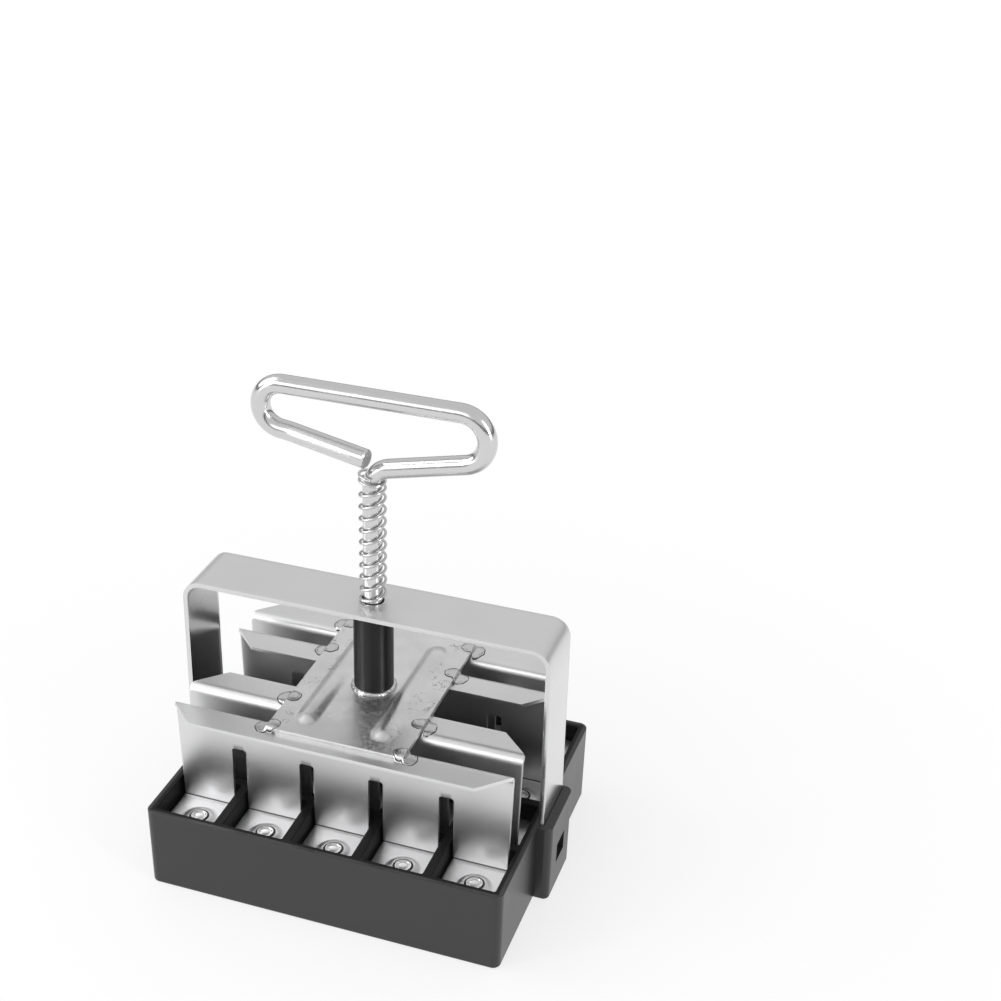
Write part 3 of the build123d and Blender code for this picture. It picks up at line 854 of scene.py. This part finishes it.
# The pins are riveted into the seats of each comb.
dimplePin = {
    "radius": 2.5,
    "tipRound": 1.2,
    "tipStart": 0.05,  # radians, so that a small flat closes the tip
    "tipSteps": 10,
    "shoulder": 0.15,
    "shank": 1.2,
    "headRise": 0.35,
    # the joint round the head and the upset head inside it: radius, and height above the seat
    "head": (
        (3.2, -0.03), (3.2, 0.01), (2.62, 0.02), (2.64, 0.12), (2.6, 0.24), (2.5, 0.32), (2.34, 0.35),
        (2.18, 0.33), (2.04, 0.25), (1.92, 0.12), (1.82, 0.05), (1.7, 0.03), (1.58, 0.06), (1.45, 0.13),
        (1.25, 0.2), (0.9, 0.25), (0.5, 0.28), (0.05, 0.28),
    ),
    # the faces of this ring get the dark material: painted contact shadow and soil
    "joint": (2.6, 3.1),  # its faces stay outside the first radius and reach past the second
    "sides": 48,
}


def buildPins(number, pinPlaces, facing, bladeFront):
    look = dimplePin
    low, high = inMillimetres(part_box(f"dimple_pins_row_{number}"))
    seat = high.z - look["headRise"]
    ceiling = seat - comb["thickness"]
    radius, dome, shoulder, shank = look["radius"], look["tipRound"], look["shoulder"], look["shank"]
    turns = spread(look["tipStart"], math.pi / 2, look["tipSteps"])
    tip = [(radius * math.sin(turn), low.z + dome - dome * math.cos(turn)) for turn in turns]
    neck = [(radius, ceiling - shoulder), (radius - shoulder, ceiling), (shank, ceiling), (shank, seat)]
    profile = tip + neck + [(r, seat + rise) for r, rise in look["head"]]
    pinLine = bladeFront + facing * comb["seatSetback"]
    points, faces = [], []
    for x in pinPlaces:
        first = len(points)
        for r, z in profile:
            points += circle(r, z, look["sides"], x, pinLine)
        pinFaces = ringFaces(len(profile), look["sides"]) + capFaces(len(profile), look["sides"])
        faces += [[first + index for index in face] for face in pinFaces]
    piece = makePiece(f"dimplePins{number}", points, faces, rivet, jointSoil)
    # the joint round each head is painted dark: painted contact shadow, and soil
    inner, outer = look["joint"]
    for polygon in piece.data.polygons:
        corners = [piece.data.vertices[index].co / mm for index in polygon.vertices]
        radii = [min(math.hypot(corner.x - x, corner.y - pinLine) for x in pinPlaces) for corner in corners]
        if min(radii) > inner and max(radii) > outer:
            polygon.material_index = 1
    smooth(piece, sharpAngle=60.0)
    settle(piece, "plunger", "dimple_pins", f"dimple_pins_row_{number}")


# Two puddles join the plate to a flange wherever the plate's side edges cross it.
weldSpot = {
    "radius": 2.85,
    # on the plate and on the flange: place across the plate's edge, distance in front of the blade,
    # length over width, and how much higher the middle stands
    "puddles": (
        {"out": -1.3, "setback": 3.0, "length": 1.05, "lift": 0.06},
        {"out": 1.3, "setback": 3.4, "length": 1.28, "lift": 0.0},
    ),
    "rise": 0.45,
    "domePower": 0.7,
    "ripple": 0.03,
    "ripples": 5,
    "rimSink": 0.07,
    "rimPower": 8,
    "ragged": 0.12,
    "slope": (-0.9, 0.25),  # from outside the plate's edge to inside it
    "rings": 12,
    "spokes": 36,
}


def buildSpots(number, facing, bladeFront):
    look, spokes = weldSpot, weldSpot["spokes"]
    plateLow, plateHigh = inMillimetres(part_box("plunger_plate"))
    bendOut = comb["flangeBend"] + comb["thickness"]

    def ground(x, y):
        # top of the sheet below: the plate, a short slope at its edge, then the flange and its bend
        inside = min(plateHigh.x - abs(x), plateHigh.y - abs(y))
        climb = eased(*look["slope"], inside)
        drop = rounding(bendOut, max(comb["flangeBend"] - facing * (y - bladeFront), 0.0))
        return plateLow.z - drop * (1 - climb) + climb * plungerPlate["thickness"]

    points, faces, rims = [], [], []
    for side in (-1, 1):
        for puddle in look["puddles"]:
            first = len(points)
            x0 = side * (plateHigh.x + puddle["out"])
            y0 = bladeFront + facing * puddle["setback"]
            for ring in range(look["rings"] + 1):
                share = max(ring, 0.05) / look["rings"]
                dome = look["rise"] * (1 - share**2) ** look["domePower"]
                dome += look["ripple"] * math.cos(share * look["ripples"] * math.pi) * (1 - share)
                dome += puddle["lift"] * (1 - share) - look["rimSink"] * share ** look["rimPower"]
                for across, along, _ in circle(1.0, 0.0, spokes):
                    edge = 1 + look["ragged"] * noise.noise((2 * across, 2 * along, x0 + 7 * y0))
                    r = look["radius"] * share * edge
                    x, y = x0 + r * across, y0 + puddle["length"] * r * along
                    points.append((x, y, ground(x, y) + dome))
                    rims.append(share)
            spotFaces = ringFaces(look["rings"] + 1, spokes) + capFaces(1, spokes)[:1]
            faces += [[first + index for index in face] for face in spotFaces]
    piece = makePiece(f"weldSpots{number}", points, faces, weldBead)
    piece.data.attributes.new("puddleRim", "FLOAT", "POINT").data.foreach_set("value", rims)
    smooth(piece, sharpAngle=70.0)
    settle(piece, "plunger", "weld_bead", f"weld_spots_row_{number}")


for number in range(1, 5):
    pinPlaces, facing, bladeFront = buildComb(number)
    buildPins(number, pinPlaces, facing, bladeFront)
    buildSpots(number, facing, bladeFront)
print("combs, pins and weld spots made")


stopSleeve = {"bore": 3.3, "edge": 0.35, "sides": 72, "wallSteps": 20, "edgeSteps": 5}


def buildSleeve():
    look = stopSleeve
    low, high = inMillimetres(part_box("stop_sleeve"))
    edge, sides = look["edge"], look["sides"]
    turns = [(edge * math.cos(a), edge * math.sin(a)) for a in spread(0, math.pi / 2, look["edgeSteps"])]
    profile = [(high.x, z) for z in spread(low.z, high.z - edge, look["wallSteps"])]
    profile += [(high.x - edge + out, high.z - edge + rise) for out, rise in turns[1:]]
    profile += [(look["bore"] + edge - out, high.z - edge + rise) for out, rise in reversed(turns)]
    profile += [(look["bore"], low.z), (high.x, low.z)]
    points = [point for radius, z in profile for point in circle(radius, z, sides)]
    sleeve = makePiece("stopSleeve", points, ringFaces(len(profile), sides), blackCoat)
    smooth(sleeve)
    settle(sleeve, "plunger", "black_sleeve", "stop_sleeve")


# A ring of weld metal wavers in width and height, with one larger lump where it was closed.
weldRing = {
    "waver": 0.22,
    "waverTurn": 2.2,
    "ripple": 0.07,
    "ripples": 22,
    "thin": 0.72,  # width and height away from the lump
    "low": 0.7,
    "tallest": 1.05,
    "lumpPower": 14,
    "overlap": 0.05,
    "sink": 0.04,
    "sides": 96,
    "steps": 9,
    "lumps": {"sleeveWeld": -98.0, "rodWeld": 40.0},
}


def weldRingPiece(name, node, inner, outer, base, rise):
    look, sides, steps = weldRing, weldRing["sides"], weldRing["steps"]
    lumpAngle = math.radians(look["lumps"][name])
    overlap, sink = look["overlap"], math.copysign(look["sink"], rise)
    points, rims = [], []
    for share in spread(0.0, 1.0, steps):
        for side in range(sides):
            angle = 2 * math.pi * side / sides
            across, along = math.cos(angle), math.sin(angle)
            waver = noise.noise((look["waverTurn"] * across, look["waverTurn"] * along, base))
            waver = 1 + look["waver"] * waver + look["ripple"] * math.sin(look["ripples"] * angle)
            near = max(math.cos(angle - lumpAngle), 0.0) ** look["lumpPower"]
            width = (outer - inner) * min(waver, 1.0) * (look["thin"] + (1 - look["thin"]) * near)
            height = rise * min(waver, look["tallest"]) * (look["low"] + (1 - look["low"]) * near)
            r = inner - overlap + (width + overlap) * math.sin(share * math.pi / 2)
            z = base + height * math.cos(share * math.pi / 2) - sink * share
            points.append((r * across, r * along, z))
            rims.append(share)
    faces = ringFaces(steps + 1, sides)
    if rise > 0:
        faces = [face[::-1] for face in faces]
    piece = makePiece(name, points, faces, weldBead)
    piece.data.attributes.new("puddleRim", "FLOAT", "POINT").data.foreach_set("value", rims)
    smooth(piece, sharpAngle=70.0)
    settle(piece, "plunger", "weld_bead", node)


def buildWeldRings():
    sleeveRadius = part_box("stop_sleeve")[1].x / mm
    low, high = inMillimetres(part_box("sleeve_weld"))
    weldRingPiece("sleeveWeld", "sleeve_weld", sleeveRadius, high.x, low.z, high.z - low.z)
    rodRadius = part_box("handle_rod")[1].y / mm
    low, high = inMillimetres(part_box("rod_weld"))
    weldRingPiece("rodWeld", "rod_weld", rodRadius, high.x, high.z, low.z - high.z)


buildSleeve()
buildWeldRings()
print("sleeve and beads made")


# One wire is the shaft and the grip. Angles are in degrees.
handleRod = {
    "radius": 3.0,
    "bend": 7.0,
    "bendAboveBand": 39.5,
    "gripHalfWidth": 35.7,
    "rightRise": 13.1,
    "leftRise": 5.7,
    "leftBend": 25.0,  # turns the left bar towards the front
    "cutEndPast": 0.2,
    "cutEndGap": 1.1,
    "cutEndSide": 39.3,  # from upright
    "cutEase": 0.35,
    "step": 0.8,
    "bendStep": 0.4,
    "leftBendSteps": 8,
    "sides": 48,
}


def gripEndRadius(height, slope, halfWidth):
    return math.cos(slope) * (height - math.tan(slope) * halfWidth) / (1 + math.cos(slope) - math.sin(slope))


def arcPoints(centre, radius, start, end, step):
    count = max(int(abs(end - start) * radius / step), 6)
    angles = spread(start, end, count)
    return [(centre[0] + radius * math.cos(a), centre[1] + radius * math.sin(a), 0.0) for a in angles]


def buildRod():
    look = handleRod
    low, high = inMillimetres(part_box("handle_rod"))
    bendStart = bandTop + look["bendAboveBand"]
    gripTop = high.z - look["radius"]
    right, left, bend = math.radians(look["rightRise"]), math.radians(look["leftRise"]), look["bend"]
    # heights of the two lower bars where they would cross the shaft
    rightLine = bendStart + bend * math.cos(right) - bend * (1 - math.sin(right)) * math.tan(right)
    apart, aside = 2 * look["radius"] + look["cutEndGap"], math.radians(look["cutEndSide"])
    leftLine = rightLine + apart * math.cos(aside)
    endFront = apart * math.sin(aside)
    rightRadius = gripEndRadius(gripTop - rightLine, right, look["gripHalfWidth"])
    leftRadius = gripEndRadius(gripTop - leftLine, left, look["gripHalfWidth"])
    rightCentre = (look["gripHalfWidth"] - rightRadius, gripTop - rightRadius)
    leftCentre = (leftRadius - look["gripHalfWidth"], gripTop - leftRadius)
    # each point holds x, z and how far it stands to the front
    step = look["step"]
    line = [(0.0, z, 0.0) for z in spread(low.z, bendStart, int((bendStart - low.z) / step))]
    line += arcPoints((bend, bendStart), bend, math.pi, math.pi / 2 + right, look["bendStep"])[1:]
    farRight = arcPoints(rightCentre, rightRadius, right - math.pi / 2, math.pi / 2, step)
    farLeft = arcPoints(leftCentre, leftRadius, math.pi / 2, 3 * math.pi / 2 - left, step)
    # the left bar turns towards the front and ends in front of the first bend
    startX, startZ, _ = farLeft[-1]
    reach = (look["cutEndPast"] - startX) / math.cos(left)
    beside = look["leftBend"] - endFront
    swing = math.asin(look["leftBend"] / math.hypot(reach, beside)) - math.atan(beside / reach)
    for angle in spread(0.0, swing, look["leftBendSteps"])[1:]:
        along = look["leftBend"] * math.sin(angle)
        forward = look["leftBend"] * (1 - math.cos(angle))
        farLeft.append((startX + along * math.cos(left), startZ - along * math.sin(left), forward))
    cutEnd = (look["cutEndPast"], leftLine - look["cutEndPast"] * math.tan(left), endFront)
    for stretch in (farRight, farLeft, [cutEnd]):
        before, after = Vector(line[-1]), Vector(stretch[0])
        count = int((after - before).length / (2 * step))
        line += [tuple(before.lerp(after, i / count)) for i in range(1, count + 1)]
        line += stretch[1:]
    path = [Vector((x, -forward, z)) for x, z, forward in line]
    rod = wirePiece("handleRod", path, look["radius"], look, Vector((0, 1, 0)), wireSteel)
    settle(rod, "plunger", "drawn_wire", "handle_rod")


buildRod()
print("handle rod made")


# Turns are counted in halves. The spring lies flat on the band, rises in open turns and closes
# round the rod's first bend.
returnSpring = {
    "wire": 0.9,
    "firstHalfTurn": 0.5,  # straight behind the rod
    "flatHalfTurn": 1.0,
    "openHalfTurns": 20,
    "closedHalfTurns": 2.5,
    "closedPitch": 1.8,
    "openLean": 0.15,
    "closedLean": -0.2,
    "leanRun": 2.0,
    "seatGap": 0.05,
    "endRun": (0.33, 0.66, 1.0),  # straight ends, in wire diameters
    "cutEase": 0.12,
    "stepsPerHalfTurn": 22,
    "sides": 16,
}


def buildSpring():
    look = returnSpring
    low, high = inMillimetres(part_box("return_spring"))
    wire, opened, openStart = look["wire"], look["openHalfTurns"], look["flatHalfTurn"]
    openEnd = openStart + opened
    radius, foot = high.x - wire / 2, low.z + wire / 2
    # the last pass on the inner side of the rod's bend sets the rise of the open turns
    bendStart = bandTop + handleRod["bendAboveBand"]
    wireReach = handleRod["bend"] - handleRod["radius"] - look["seatGap"] - wire / 2
    lastPass = bendStart + math.sqrt(wireReach**2 - (handleRod["bend"] - radius) ** 2)
    openTop = lastPass - look["closedPitch"] / 2 - look["closedLean"] * radius
    openRise = (openTop - foot) / opened

    def coilPoint(halfTurn):
        openPart = min(max(halfTurn - openStart, 0.0), opened)
        closedPart = max(halfTurn - openStart - opened, 0.0)
        rise = openPart * openRise + closedPart * look["closedPitch"] / 2
        lean = look["openLean"] * eased(openStart, openStart + look["leanRun"], halfTurn)
        lean += (look["closedLean"] - look["openLean"]) * eased(openEnd - look["leanRun"], openEnd, halfTurn)
        x = radius * math.cos(math.pi * halfTurn)
        return Vector((x, radius * math.sin(math.pi * halfTurn), foot + rise + lean * x))

    start, end = look["firstHalfTurn"], openEnd + look["closedHalfTurns"]
    halfTurns = spread(start, end, int((end - start) * look["stepsPerHalfTurn"]))
    path = [coilPoint(halfTurn) for halfTurn in halfTurns]
    first, last = (path[0] - path[1]).normalized(), (path[-1] - path[-2]).normalized()
    path = [path[0] + first * wire * share for share in reversed(look["endRun"])] + path
    path += [path[-1] + last * wire * share for share in look["endRun"]]
    spring = wirePiece("returnSpring", path, wire / 2, look, Vector((0, 0, 1)), springWire)
    settle(spring, "frame", "spring_wire", "return_spring")
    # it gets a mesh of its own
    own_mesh(spring)


buildSpring()
print("return spring made")


# A pale floor, soft lamps and a camera at the photograph's angle.
studio = {
    "floorSize": 5.0,
    "floorDrop": 0.05,
    "floorColour": "#ebebeb",
    # how far the floor is simply white where it is seen or mirrored, near the object and away from it
    "whiteShare": (0.72, 1.0),
    "whiteReach": (70.0, 260.0),
    # height as a share, from straight down to straight up, and colour
    "skyStops": (
        (0.0, "#f0f0f0"),
        (0.495, "#e8e8e8"),
        (0.51, "#484848"),
        (0.56, "#4c4c4c"),
        (0.63, "#e6e6e6"),
        (1.0, "#e2e2e2"),
    ),
    "lamps": (
        # azimuth and elevation seen from the object, distance, width, height, power
        ("frontSoftbox", -18.0, 28.0, 1.2, 0.8, 0.5, 1.6),
        ("leftSoftbox", -80.0, 36.0, 0.9, 0.4, 0.7, 2.4),
        ("leftStrip", -45.0, 20.0, 1.0, 0.2, 0.66, 2.9),
        ("rightStrip", 67.0, 20.0, 1.0, 0.2, 0.66, 2.9),
    ),
}
# Angles in degrees, lengths in millimetres. The focal length is in pixels of a 1001 pixel frame, and
# so is the place across it that the lens looks at.
view = {
    "azimuth": 19.928,
    "elevation": 28.051,
    "roll": 0.494,
    "distance": 560.0,
    "target": (6.874, 31.554, 111.358),
    "focalPixels": 1769.337,
    "framePixels": 1001,
    "axisPixel": 430.0,
}


def floorNodes(tree, look):
    rays = addNode(tree, "LightPath").outputs
    seen = rays["Is Camera Ray"]
    for ray in ("Is Glossy Ray", "Is Transmission Ray"):
        seen = addNode(tree, "Math", {"operation": "MAXIMUM"}, {0: seen, 1: rays[ray]})
    away = addNode(tree, "VectorMath", {"operation": "LENGTH"}, {0: millimetres(tree)}).outputs["Value"]
    share = addNode(tree, "MapRange", fade(*look["whiteReach"], *look["whiteShare"]), {"Value": away})
    share = addNode(tree, "Math", {"operation": "MULTIPLY"}, {0: seen, 1: share})
    matt = addNode(tree, "BsdfDiffuse", {"Color": linearColour(look["floorColour"])})
    white = addNode(tree, "Emission", {"Color": (1, 1, 1, 1), "Strength": 1.0})
    both = addNode(tree, "MixShader", links={0: share, 1: matt, 2: white})
    addNode(tree, "OutputMaterial", links={"Surface": both})


def buildFloor():
    size = studio["floorSize"] / 2
    corners = [(-size, -size, 0), (size, -size, 0), (size, size, 0), (-size, size, 0)]
    mesh = bpy.data.meshes.new("floor")
    mesh.from_pydata(corners, [], [(0, 1, 2, 3)])
    mesh.materials.append(makeMaterial("paleFloor", floorNodes, studio))
    floor = bpy.data.objects.new("floor", mesh)
    floor.location.z = -studio["floorDrop"] * mm
    bpy.context.scene.collection.objects.link(floor)


def buildSky():
    world = bpy.data.worlds.new("studio")
    bpy.context.scene.world = world
    world.use_nodes = True
    tree = world.node_tree
    tree.nodes.clear()
    direction = addNode(tree, "TexCoord").outputs["Generated"]
    height = addNode(tree, "SeparateXYZ", links={0: direction}).outputs["Z"]
    share = addNode(tree, "MapRange", fade(-1.0, 1.0), {"Value": height})
    ramp = addNode(tree, "ValToRGB", links={0: share})
    stops = ramp.color_ramp.elements
    while len(stops) < len(studio["skyStops"]):
        stops.new(0.5)
    for stop, (place, colour) in zip(stops, studio["skyStops"]):
        stop.position = place
        stop.color = linearColour(colour)
    light = addNode(tree, "Background", {"Strength": 1.0}, {"Color": ramp})
    # behind the object it is simply white
    seen = addNode(tree, "LightPath").outputs["Is Camera Ray"]
    white = addNode(tree, "Background", {"Color": (1, 1, 1, 1), "Strength": 1.0})
    both = addNode(tree, "MixShader", links={0: seen, 1: light, 2: white})
    addNode(tree, "OutputWorld", links={"Surface": both})


def directionFrom(azimuth, elevation):
    a, e = math.radians(azimuth), math.radians(elevation)
    return Vector((math.sin(a) * math.cos(e), -math.cos(a) * math.cos(e), math.sin(e)))


def buildLamps():
    aim = (cadBox[0] + cadBox[1]) / 2
    for name, azimuth, elevation, distance, width, height, power in studio["lamps"]:
        lamp = bpy.data.lights.new(name, "AREA")
        lamp.shape = "RECTANGLE"
        lamp.size, lamp.size_y, lamp.energy = width, height, power
        holder = bpy.data.objects.new(name, lamp)
        bpy.context.scene.collection.objects.link(holder)
        away = directionFrom(azimuth, elevation)
        holder.location = aim + away * distance
        holder.rotation_euler = away.to_track_quat("Z", "Y").to_euler()


def buildCamera():
    camera = bpy.data.cameras.new("photoView")
    camera.sensor_width = 36.0
    camera.lens = view["focalPixels"] / view["framePixels"] * camera.sensor_width
    camera.shift_x = (view["framePixels"] / 2 - view["axisPixel"]) / view["framePixels"]
    camera.clip_start = 0.01
    holder = bpy.data.objects.new("photoView", camera)
    bpy.context.scene.collection.objects.link(holder)
    back = directionFrom(view["azimuth"], view["elevation"])
    level = (-back).cross(Vector((0, 0, 1))).normalized()
    above = level.cross(-back)
    roll = math.radians(view["roll"])
    across = level * math.cos(roll) + above * math.sin(roll)
    upwards = above * math.cos(roll) - level * math.sin(roll)
    turn = Matrix((across, upwards, back)).transposed()
    lens = (Vector(view["target"]) + back * view["distance"]) * mm
    holder.matrix_world = Matrix.Translation(lens) @ turn.to_4x4()
    bpy.context.scene.camera = holder


buildFloor()
buildSky()
buildLamps()
buildCamera()
bpy.context.scene.view_settings.view_transform = "Standard"
print("studio made")
